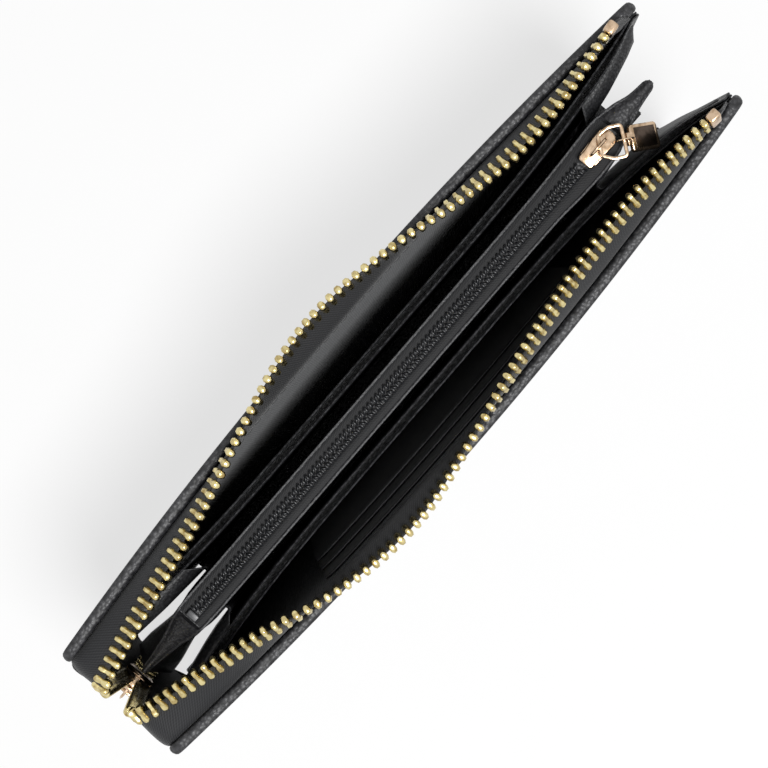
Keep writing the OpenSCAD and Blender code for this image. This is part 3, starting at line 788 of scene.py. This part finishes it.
# The chain leans out from the spine's end to the slider, then back in to the corner.
def endX(z):
    if z < mainZip["closedTop"]:
        return lerp(mainZip["footX"], endX(mainZip["closedTop"]), z / mainZip["closedTop"])
    return lerp(mainZip["leanLow"], mainZip["leanTop"], (z - mainZip["sliderZ"]) / (mainZip["leanTopZ"] - mainZip["sliderZ"]))


def endY(z):
    if z < 34:
        return lerp(0.4, 2.5, max(0.0, (z - 24) / 10))
    return lerp(2.2, 4.2, (z - mainZip["sliderZ"]) / 65)


# Which way the tape's free edge points over the top run, from the Y axis.
def tipAngle(offset):
    if offset >= 0:
        return 90 - 22 * min(1.0, offset / 5.5)
    return 90 + 84 * min(1.0, -offset / 8.6) ** 0.75


# Foot, tooth centre and free-edge direction at each place on the zip.
def topPlace(side, x):
    offset = runY(side, x) - seamY(side, x)
    a = math.radians(tipAngle(offset))
    foot = Vector((x, seamY(side, x) - 0.3, mainZip["seamZ"]))
    tooth = Vector((x, runY(side, x), runZ(side, x)))
    return foot, tooth, Vector((0, math.cos(a), math.sin(a))), Vector((0, 0, lerp(2.0, 4.2, max(0.0, min(1.0, 0.6 + offset / 9)))))


def cornerPlace(side, a):
    foot, tooth, tip, rise = topPlace(side, mainZip["cornerX"])
    r = mainZip["cornerRadius"]
    s, c = math.sin(a), 1 - math.cos(a)
    drop = Vector((-r * s, 0, -r * c))
    endTooth = endPlace(side, tooth.z - r)[1]
    share = a / (math.pi / 2)
    drop.y = (endTooth.y - tooth.y) * share
    slide = Vector(((endTooth.x - (tooth.x - r)) * share, 0, 0))
    turn = Matrix.Rotation(-a, 3, "Y")
    return foot + Vector((-r * s * 0.97, 0, -r * c)), tooth + drop + slide, tip.lerp(Vector((0, -1, 0)), share).normalized(), turn @ rise


def endPlace(side, z):
    y = coverY(side, halfLength, z) - wall - 0.4
    edge = lerp(-98.1, -96.9, min(1.0, z / 30))
    tooth = Vector((endX(z), endY(z) + 0.2, z))
    return Vector((edge, y, z)), tooth, Vector((-0.12, -1, 0)).normalized(), Vector((-2.2, 0, 0))


def zipPlaces(side):
    tapered = [(94.2, 0.1), (93.0, 0.38), (91.6, 0.72), (90.4, 0.94)]
    places = []
    for x, share in tapered:
        foot, tooth, tip, rise = topPlace(side, x)
        places.append((foot, foot.lerp(tooth, share), tip, rise * share))
    places += [topPlace(side, x) for x in steps(89.4, mainZip["cornerX"], 110)]
    places += [cornerPlace(side, a) for a in steps(0.2, math.pi / 2, 6)]
    low = places[-1][1].z
    places += [endPlace(side, z) for z in steps(low - 1.5, 3.0, 44)]
    return places


def makeMainTape(side):
    rows = []
    for foot, tooth, tip, rise in zipPlaces(side):
        line = [bezier(foot, foot + rise, tooth - tip * min(3.2, (tooth - foot).length * 0.4), tooth, i / 9)
                for i in range(10)]
        across = Vector((1, 0, 0)) if tooth.x > mainZip["cornerX"] else Vector((1, 0, 1)).normalized() \
            if tooth.z > 93.5 else Vector((0, 0, 1))
        rows.append([tuple(p) for p in thicken(line, mainZip["tapeThickness"], across)])
    made = skin(side + "ZipTape", mirrorSide(side, rows), tapeCloth)
    return blendZip(made, [side + "_tape", side + "_end_tape"])


def blendZip(made, nodes):
    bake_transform(made)
    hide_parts(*nodes)
    return made


# One tooth: a rounded head with a raised nose, a neck, and legs that grip the tape.
# X runs along the chain, Y from the head to the tape, Z through the tape.
toothShape = {"headWidth": 1.80, "neckWidth": 1.42, "legWidth": 1.62, "headHeight": 2.3, "legHeight": 2.5}


def toothMesh(name):
    head, neck, leg = toothShape["headWidth"], toothShape["neckWidth"], toothShape["legWidth"]
    stations = [  # share of length, width, height
        (-0.50, 0.8, 1.1), (-0.46, 1.35, 1.7), (-0.37, 1.72, 2.2), (-0.24, head, toothShape["headHeight"]),
        (-0.10, 1.66, 2.1), (0.0, neck, 1.85), (0.10, 1.46, 2.1),
        (0.24, leg, toothShape["legHeight"]), (0.40, 1.5, 2.3), (0.47, 1.2, 1.9), (0.50, 0.8, 1.3)]
    rows = []
    for share, width, height in stations:
        y = share * mainZip["toothLength"]
        row = []
        for a in (20, 70, 110, 160, 200, 250, 290, 340):
            c, s = math.cos(math.radians(a)), math.sin(math.radians(a))
            row.append((math.copysign(abs(c) ** 0.7, c) * width / 2, y, math.copysign(abs(s) ** 0.7, s) * height / 2))
        rows.append(row)
    made = skin(name, rows, None, 60)
    mesh = made.data
    bpy.data.objects.remove(made)
    return mesh


def toothPlaces(side):
    found = []

    def add(place, ahead):
        foot, centre, tip, rise = place
        found.append((centre, frameTurn((ahead[1] - centre), -tip)))
    x = mainZip["topX"]
    while x > mainZip["cornerX"] + 1.0:
        add(topPlace(side, x), topPlace(side, x - 1))
        x -= mainZip["pitch"]
    r = mainZip["cornerRadius"]
    left = (mainZip["cornerX"] - x) / r
    a = max(0.02, left)
    while a < math.pi / 2:
        add(cornerPlace(side, a), cornerPlace(side, a + 0.1))
        a += mainZip["pitch"] / r
    z = topPlace(side, mainZip["cornerX"])[1].z - r - (a - math.pi / 2) * r
    while z > 36.5:
        add(endPlace(side, z), endPlace(side, z - 1))
        z -= mainZip["pitch"]
    return found


def flipY(places):
    flip = Matrix.Diagonal((1, -1, 1))
    return [(flip @ p, flip @ turn @ flip) for p, turn in places]


def makeMainTeeth(side):
    places = toothPlaces(side)
    if side == "front":
        places = flipY(places)
    made = scatterRow(side + "ZipTeeth", places, toothMesh(side + "Tooth"), toothMetal,
                      unevenness=0.04, seed=5 if side == "back" else 9)
    return blendZip(made, [side + "_teeth", side + "_end_teeth"])


def makeTopStop(side):
    x = mainZip["stopX"]
    foot, centre, tip, rise = topPlace(side, x)
    turn = frameTurn(topPlace(side, x - 1)[1] - centre, -tip)
    if side == "front":
        centre, turn = flipY([(centre, turn)])[0]
    made = roundedBlock(side + "TopStop", centre, (3.0, 4.2, 2.5), 0.7, sliderMetal, turn)
    return settle(made, side + "_half", [side + "_top_stop"])


def makeClosedTeeth():
    places = []
    down = Vector((mainZip["footX"] - endX(mainZip["closedTop"]), 0, -mainZip["closedTop"])).normalized()
    for i in range(int((mainZip["closedTop"] - 8) / 1.25)):
        z = 8 + (i + 0.5) * 1.25
        s = 1 if i % 2 == 0 else -1
        places.append((Vector((endX(z), s * 1.35, z)), frameTurn(down, Vector((0.05, s, 0)))))
    made = scatterRow("closedTeeth", places, toothMesh("closedTooth"), toothMetal, width=0.62, unevenness=0.03)
    return settle(made, "core", ["closed_teeth", "zip_tail"])


for side in ("back", "front"):
    makeMainTape(side)
    makeMainTeeth(side)
    makeTopStop(side)
makeClosedTeeth()
lean = Matrix.Rotation(math.atan2(endX(0) - endX(24), -24) + math.pi, 3, "Y")
settle(roundedBlock("bottomStop", (endX(6.6), 0, 6.6), (3.0, 5.6, 2.3), 0.5, sliderMetal, lean),
       "core", ["main_bottom_stop"])
print("main zip made")


# Stitches.
stitchShape = {"length": 2.1, "gap": 0.9, "thickness": 0.34}


def stitchMesh(name):
    rows = []
    for share, r in [(-0.5, 0.05), (-0.42, 0.5), (-0.25, 0.9), (0.0, 1.0), (0.25, 0.9), (0.42, 0.5), (0.5, 0.05)]:
        y = share * stitchShape["length"]
        rows.append([(math.cos(math.radians(a)) * r * stitchShape["thickness"] / 2, y,
                      math.sin(math.radians(a)) * r * stitchShape["thickness"] / 2) for a in range(0, 360, 60)])
    made = skin(name, rows, None, 80)
    mesh = made.data
    bpy.data.objects.remove(made)
    return mesh


def stitchRow(name, path, body):
    places = []
    spacing = stitchShape["length"] + stitchShape["gap"]
    travelled = 0.0
    wanted = spacing / 2
    for a, b in zip(path, path[1:]):
        length = (b - a).length
        while wanted <= travelled + length:
            t = (wanted - travelled) / length
            way = (b - a).normalized()
            side = way.cross(Vector((0, 0, 1))).normalized()
            places.append((a.lerp(b, t), Matrix((side, way, side.cross(way))).transposed()))
            wanted += spacing
        travelled += length
    made = scatterRow(name, places, stitchMesh(name + "Stitch"), threadNylon, unevenness=0.06, seed=11)
    return settle(made, body)


for side in ("back", "front"):
    s = 1 if side == "back" else -1
    seam = [Vector((x, s * (seamY(side, x) - 0.62), 94.9)) for x in steps(-90, 92, 80)]
    stitchRow(side + "SeamStitches", seam, side + "_half")
print("stitches made")


# Gussets: a folded web from each leaf's end to the pocket's end.
# Outline points are [distance along X, distance from the middle plane] at the top edge;
# flap is how far down the web has left the leaf by the time it reaches that outline.
gusset = {
    "thickness": 0.5, "clear": 0.3, "low": 3.2, "high": 86.5, "flap": 3.0,
    "back_left": {"leg": [(92, 9.6), (88, 7.9), (84, 6.9), (78, 6.2), (72, 5.8), (66, 5.4)],
                  "fold": 62.0, "pocket": [66, 69, 72]},
    "front_left": {"leg": [(91, 10.4), (87, 9.0), (82.5, 7.8), (78, 7.1), (74, 6.5), (69, 5.8)],
                   "fold": 65.5, "pocket": [69, 71, 73]},
    "back_right": {"leg": [(93.5, 10.0), (90, 8.9), (85, 7.6), (81, 6.6), (77.5, 6.0), (74, 5.4)],
                   "fold": 71.5, "pocket": [73, 74, 75]},
    "front_right": {"leg": [(92, 20), (86, 20), (80, 20), (75, 20), (70, 20), (66, 7.1)],
                    "fold": 62.5, "pocket": [66, 72, 79]},
}


def gussetOutline(side, shape, end, z):
    def besideLeaf(x):
        return leafY(side, x, z) - gusset["clear"]
    path = [(95.6, besideLeaf(95.6))] + [(x, min(y, besideLeaf(x))) for x, y in shape["leg"]]
    near = path[-1][1]
    far = smooth(pocket[side], end * shape["pocket"][0]) + gusset["clear"]
    r, mid = max(0.15, (near - far) / 2), (near + far) / 2
    for a in (90, 125, 160, 200, 235, 270):
        path.append((shape["fold"] + r + r * math.cos(math.radians(a)), mid + r * math.sin(math.radians(a))))
    for x, tuck in zip(shape["pocket"], (1, 0.6, -0.6)):
        path.append((x, smooth(pocket[side], end * x) + gusset["clear"] * tuck))
    return path


def makeGusset(side, end):
    name = "left" if end < 0 else "right"
    shape = gusset[side + "_" + name]
    levels = steps(gusset["low"], gusset["high"] - gusset["flap"], 12)
    lines = [gussetOutline(side, shape, end, z) for z in levels]
    legCount = len(shape["leg"]) + 1
    rows = []
    for i in range(len(lines[0])):
        strip = [Vector((end * line[i][0], line[i][1] + 0.10 * math.sin(z * 0.11 + i), z))
                 for z, line in zip(levels, lines)]
        x, y = lines[-1][i]
        for share in (0.35, 0.7, 1.0):
            reach = leafY(side, x, gusset["high"]) + 0.15 - y if i < legCount else 0.0
            z = gusset["high"] - gusset["flap"] + gusset["flap"] * share ** 0.8
            strip.append(Vector((end * x, y + reach * share ** 1.5, z)))
        before, after = lines[6][max(i - 1, 0)], lines[6][min(i + 1, len(lines[0]) - 1)]
        rows.append([tuple(p) for p in thicken(strip, gusset["thickness"], Vector(
            (end * (after[0] - before[0]), after[1] - before[1], 0)).normalized())])
    made = skin("%sGusset_%s" % (side, name), mirrorSide(side, rows), gussetLeather, 70)
    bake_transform(made)
    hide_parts("%s_gusset_%s" % (side, name))
    return made


for side in ("back", "front"):
    for end in (-1, 1):
        makeGusset(side, end)
print("gussets made")


# Sliders and pulls, each built along X and then put in place.
def outlinePlate(outline, z0, z1, bevel):
    work = bmesh.new()
    face = work.faces.new([work.verts.new((x * mm, y * mm, z0 * mm)) for x, y in outline])
    grown = bmesh.ops.extrude_face_region(work, geom=[face])
    bmesh.ops.translate(work, vec=(0, 0, (z1 - z0) * mm),
                        verts=[g for g in grown["geom"] if isinstance(g, bmesh.types.BMVert)])
    bmesh.ops.recalc_face_normals(work, faces=work.faces)
    rim = [e for e in work.edges if abs(e.verts[0].co.z - e.verts[1].co.z) < 1e-9]
    bmesh.ops.bevel(work, geom=rim, offset=bevel * mm, segments=3, affect="EDGES", profile=0.5)
    return work


def sliderOutline(length, width):
    points = []
    for a in steps(-78, 78, 20):
        points.append((length / 2 - width * 0.42 + width * 0.42 * math.cos(math.radians(a)),
                       width / 2 * math.sin(math.radians(a))))
    waist = width * 0.40
    points += [(0.5, width * 0.47), (-length * 0.25, waist), (-length / 2 + 0.5, waist),
               (-length / 2, waist - 0.5), (-length / 2, -waist + 0.5), (-length / 2 + 0.5, -waist),
               (-length * 0.25, -waist), (0.5, -width * 0.47)]
    return points


# A bar of rounded square section along a path.
def barAlong(path, width, height, up, closed=False):
    count = len(path)
    rows = []
    for i, p in enumerate(path):
        before = path[(i - 1) % count] if closed else path[max(i - 1, 0)]
        after = path[(i + 1) % count] if closed else path[min(i + 1, count - 1)]
        way = (after - before).normalized()
        side = way.cross(up).normalized()
        top = side.cross(way).normalized()
        row = []
        for a in range(0, 360, 30):
            c, s = math.cos(math.radians(a + 15)), math.sin(math.radians(a + 15))
            row.append(p + side * math.copysign(abs(c) ** 0.55, c) * width / 2
                       + top * math.copysign(abs(s) ** 0.55, s) * height / 2)
        rows.append(row)
    work = bmesh.new()
    verts = [[work.verts.new(q * mm) for q in row] for row in rows]
    for i in range(count if closed else count - 1):
        a, b = verts[i], verts[(i + 1) % count]
        for j in range(12):
            k = (j + 1) % 12
            work.faces.new((a[j], b[j], b[k], a[k]))
    if not closed:
        work.faces.new(verts[0])
        work.faces.new(verts[-1][::-1])
    return work


def joinWork(name, works, matrix, material):
    mesh = bpy.data.meshes.new(name)
    whole = bmesh.new()
    for work in works:
        part = bpy.data.meshes.new("part")
        bmesh.ops.recalc_face_normals(work, faces=work.faces)
        work.to_mesh(part)
        work.free()
        whole.from_mesh(part)
        bpy.data.meshes.remove(part)
    bmesh.ops.transform(whole, matrix=matrix, verts=whole.verts)
    whole.to_mesh(mesh)
    whole.free()
    finishMesh(mesh, 35)
    return toObject(name, mesh, material)


def placed(position, pitch, yaw):
    return (Matrix.Translation(Vector(position) * mm) @ Matrix.Rotation(math.radians(yaw), 4, "Z")
            @ Matrix.Rotation(math.radians(pitch), 4, "Y"))


def bailWork(z):
    path = []
    for a in steps(0, 180, 20):
        c, s = math.cos(math.radians(a)), math.sin(math.radians(a))
        path.append(Vector((2.1 * math.copysign(abs(c) ** 0.7, c), 0, z + 0.1 + 2.25 * abs(s) ** 0.7)))
    path = [Vector((2.1, 0, z - 0.3))] + path + [Vector((-2.1, 0, z - 0.3))]
    return barAlong(path, 1.4, 0.75, Vector((0, 1, 0)))


ringShape = {"length": 5.6, "near": 4.6, "far": 7.2, "bar": 0.85}
tabShape = {"width": 6.2, "thickness": 1.3, "eyeWidth": 3.2, "eyeRadius": 1.05}


def ringWork():
    length, near, far = ringShape["length"], ringShape["near"] / 2, ringShape["far"] / 2
    corners = [(0, -near), (0, near), (length * 0.45, far), (length, far),
               (length, -far), (length * 0.45, -far)]
    path = []
    for i, (x, y) in enumerate(corners):
        p, before, after = Vector((x, y, 0)), Vector((*corners[i - 1], 0)), Vector((*corners[(i + 1) % 6], 0))
        r = 0.75
        a, b = p + (before - p).normalized() * r, p + (after - p).normalized() * r
        path += [a.lerp(p, t).lerp(p.lerp(b, t), t) for t in (0, 0.25, 0.5, 0.75, 1)]
    return barAlong(path, ringShape["bar"], ringShape["bar"], Vector((0, 0, 1)), closed=True)


def tabWorks(length):
    eye = [Vector((math.cos(math.radians(a)) * 0.8, 0, math.sin(math.radians(a)) * 0.8))
           for a in range(0, 360, 20)]
    loop = barAlong(eye, tabShape["eyeWidth"], 0.5, Vector((0, 1, 0)), closed=True)
    half, t = tabShape["width"] / 2, tabShape["thickness"] / 2
    neck = outlinePlate([(0.7, -1.5), (2.3, -1.5), (2.3, 1.5), (0.7, 1.5)], -t * 0.8, t * 0.8, 0.2)
    blade = outlinePlate([(1.6, -half + 0.5), (2.1, -half), (length - 0.7, -half), (length - 0.2, -half + 0.3),
                          (length, -half + 0.8), (length, half - 0.8), (length - 0.2, half - 0.3),
                          (length - 0.7, half), (2.1, half), (1.6, half - 0.5)], -t, t, 0.35)
    return [loop, neck, blade]


# Thin dark metal panels laid on both faces of a pull tab: a painted dark reflection on the polished plate.
def tabReflectionPanel(name, length, matrix):
    half, t = tabShape["width"] / 2 - 0.75, tabShape["thickness"] / 2
    works = []
    for s in (-1, 1):
        low, high = (t - 0.2, t + 0.04) if s > 0 else (-t - 0.04, -t + 0.2)
        works.append(outlinePlate([(2.7, -half), (length - 0.9, -half), (length - 0.9, half), (2.7, half)],
                                  low, high, 0.06))
    return joinWork(name, works, matrix, tabDarkReflectionMetal)


def turned(v, pitch, yaw):
    p, w = math.radians(pitch), math.radians(yaw)
    return Vector((v * math.cos(p) * math.cos(w), v * math.cos(p) * math.sin(w), -v * math.sin(p)))


coinPull = {"sliderX": 68.0, "plateZ": 93.5, "yaw": -36, "ringPitch": -3, "tabPitch": 30, "tabLength": 9.5}
pivot = Vector((coinPull["sliderX"] + 0.4, 0, coinPull["plateZ"] + 0.9 + 1.15))
tabPivot = pivot + turned(5.6, coinPull["ringPitch"], coinPull["yaw"])
shift = Matrix.Translation(Vector((coinPull["sliderX"], 0, 0)) * mm)
outline = sliderOutline(9.6, 5.0)
works = [outlinePlate(outline, 93.5, 94.4, 0.3),
         outlinePlate([(x * 0.97, y * 0.94) for x, y in outline], 89.9, 90.8, 0.25)]
for s in (-1, 1):
    works.append(outlinePlate([(-3.4, s * 1.75), (1.2, s * 1.95), (1.2, s * 2.4), (-3.4, s * 2.15)][::s], 91.9, 93.7, 0.1))
settle(joinWork("coinSlider", works, shift, sliderMetal), "coin_slide", ["coin_slider"])
settle(joinWork("coinBail", [bailWork(94.4)], shift, sliderMetal), "coin_slide", ["coin_bail"])
settle(joinWork("coinRing", [ringWork()], placed(pivot, coinPull["ringPitch"], coinPull["yaw"]), sliderMetal),
       "coin_ring", ["coin_pull_ring"])
there = placed(tabPivot, coinPull["tabPitch"], coinPull["yaw"])
settle(joinWork("coinTab", tabWorks(coinPull["tabLength"]), there, sliderMetal),
       "coin_tab", ["coin_pull_tab"])
settle(tabReflectionPanel("coinTabFace", coinPull["tabLength"], there), "coin_tab")

mainPull = {"sliderZ": 30.0, "lean": 5.27, "gap": 1.6, "plate": 1.1, "ringPitch": 100, "tabPitch": 90,
            "tabLength": 15.0}
pivotOut = mainPull["gap"] + mainPull["plate"] + 1.15
leanAngle = math.radians(mainPull["lean"])
pivot = Vector((endX(30) - pivotOut * math.cos(leanAngle), 0, 30 + pivotOut * math.sin(leanAngle)))
tabPivot = pivot + turned(5.6, mainPull["ringPitch"], 0)
stand = (Matrix.Translation(Vector((endX(30), 0, 30)) * mm)
         @ Matrix.Rotation(math.radians(mainPull["lean"] - 90), 4, "Y"))
outline = sliderOutline(11, 8)
works = [outlinePlate(outline, 1.6, 2.7, 0.35), outlinePlate(outline, -2.7, -1.6, 0.35)]
for s in (-1, 1):
    works.append(outlinePlate([(-5, s * 3.0), (0.5, s * 3.4), (0.5, s * 3.9), (-5, s * 3.5)][::s], 0.8, 1.9, 0.1))
    works.append(outlinePlate([(-5, s * 3.0), (0.5, s * 3.4), (0.5, s * 3.9), (-5, s * 3.5)][::s], -1.9, -0.8, 0.1))
settle(joinWork("mainSlider", works, stand, sliderMetal), "main_slide", ["main_slider"])
nose = stand @ Vector((3.2 * mm, 0, 0)) / mm
settle(roundedBlock("mainSliderNose", nose, (2.6, 2.2, 3.4), 0.4, sliderMetal, stand.to_3x3()), "main_slide")
settle(joinWork("mainBail", [bailWork(2.7)], stand, sliderMetal), "main_slide", ["main_bail"])
settle(joinWork("mainRing", [ringWork()], placed(pivot, mainPull["ringPitch"], 0), sliderMetal),
       "main_ring", ["main_pull_ring"])
there = placed(tabPivot, mainPull["tabPitch"], 0)
settle(joinWork("mainTab", tabWorks(mainPull["tabLength"]), there, sliderMetal),
       "main_tab", ["main_pull_tab"])
settle(tabReflectionPanel("mainTabFace", mainPull["tabLength"], there), "main_tab")
print("sliders and pulls made")


# Stage, light and camera.
studio = {"ambient": 0.15, "key": 17.5, "keySize": 0.45, "keyPlace": (-0.05, -0.33, 1.28), "floorSize": 4.0}

world = bpy.data.worlds.new("studio")
world.use_nodes = True
world.node_tree.nodes.clear()
sky = Tree(world.node_tree)
rays = sky.node("ShaderNodeLightPath").socket.node
seen = Wire(sky, rays.outputs["Is Camera Ray"]) + Wire(sky, rays.outputs["Is Glossy Ray"]) \
    + Wire(sky, rays.outputs["Is Transmission Ray"])
dim = sky.node("ShaderNodeBackground", None, {"Color": colour(1, 1, 1), "Strength": studio["ambient"]})
white = sky.node("ShaderNodeBackground", None, {"Color": colour(1, 1, 1), "Strength": 1.0})
both = sky.node("ShaderNodeMixShader", None, {0: seen, 1: dim, 2: white})
sky.node("ShaderNodeOutputWorld", None, {"Surface": both})
bpy.context.scene.world = world

material, t = newMaterial("paleFloor")
grainNoise = t.noise(t.node("ShaderNodeTexCoord", out=3), 40.0, 2.0)
shade = t.ramp(grainNoise, [(0.2, 0.88), (0.8, 0.90)])
matte = principled(t, {"Base Color": shade, "Roughness": 0.9, "Specular IOR Level": 0.2})
glow = t.node("ShaderNodeEmission", None, {"Color": colour(1, 1, 1), "Strength": 1.0})
path = t.node("ShaderNodeLightPath").socket.node
share = (Wire(t, path.outputs["Is Camera Ray"]) + Wire(t, path.outputs["Is Glossy Ray"])) * 0.72
closeMaterial(t, t.node("ShaderNodeMixShader", None, {0: share, 1: matte, 2: glow}))
half = studio["floorSize"] / 2
mesh = bpy.data.meshes.new("floor")
mesh.from_pydata([(-half, -half, -0.0002), (half, -half, -0.0002), (half, half, -0.0002), (-half, half, -0.0002)],
                 [], [(0, 1, 2, 3)])
toObject("floor", mesh, material)

lamp = bpy.data.lights.new("key", "AREA")
lamp.shape = "DISK"
lamp.size = studio["keySize"]
lamp.energy = studio["key"]
key = bpy.data.objects.new("key", lamp)
bpy.context.collection.objects.link(key)
key.location = studio["keyPlace"]
key.rotation_euler = (Vector((0, 0, 0)) - Vector(key.location)).to_track_quat("-Z", "Y").to_euler()

lens = bpy.data.cameras.new("camera")
lens.sensor_width = 36
lens.lens = 94.92
lens.clip_start, lens.clip_end = 0.01, 10
camera = bpy.data.objects.new("camera", lens)
bpy.context.collection.objects.link(camera)
camera.location = (-0.0037, 0.0016, 0.550)
camera.rotation_euler = (0, 0, math.radians(-49.1))
bpy.context.scene.camera = camera
bpy.context.scene.view_settings.view_transform = "Standard"

print("scene finished")
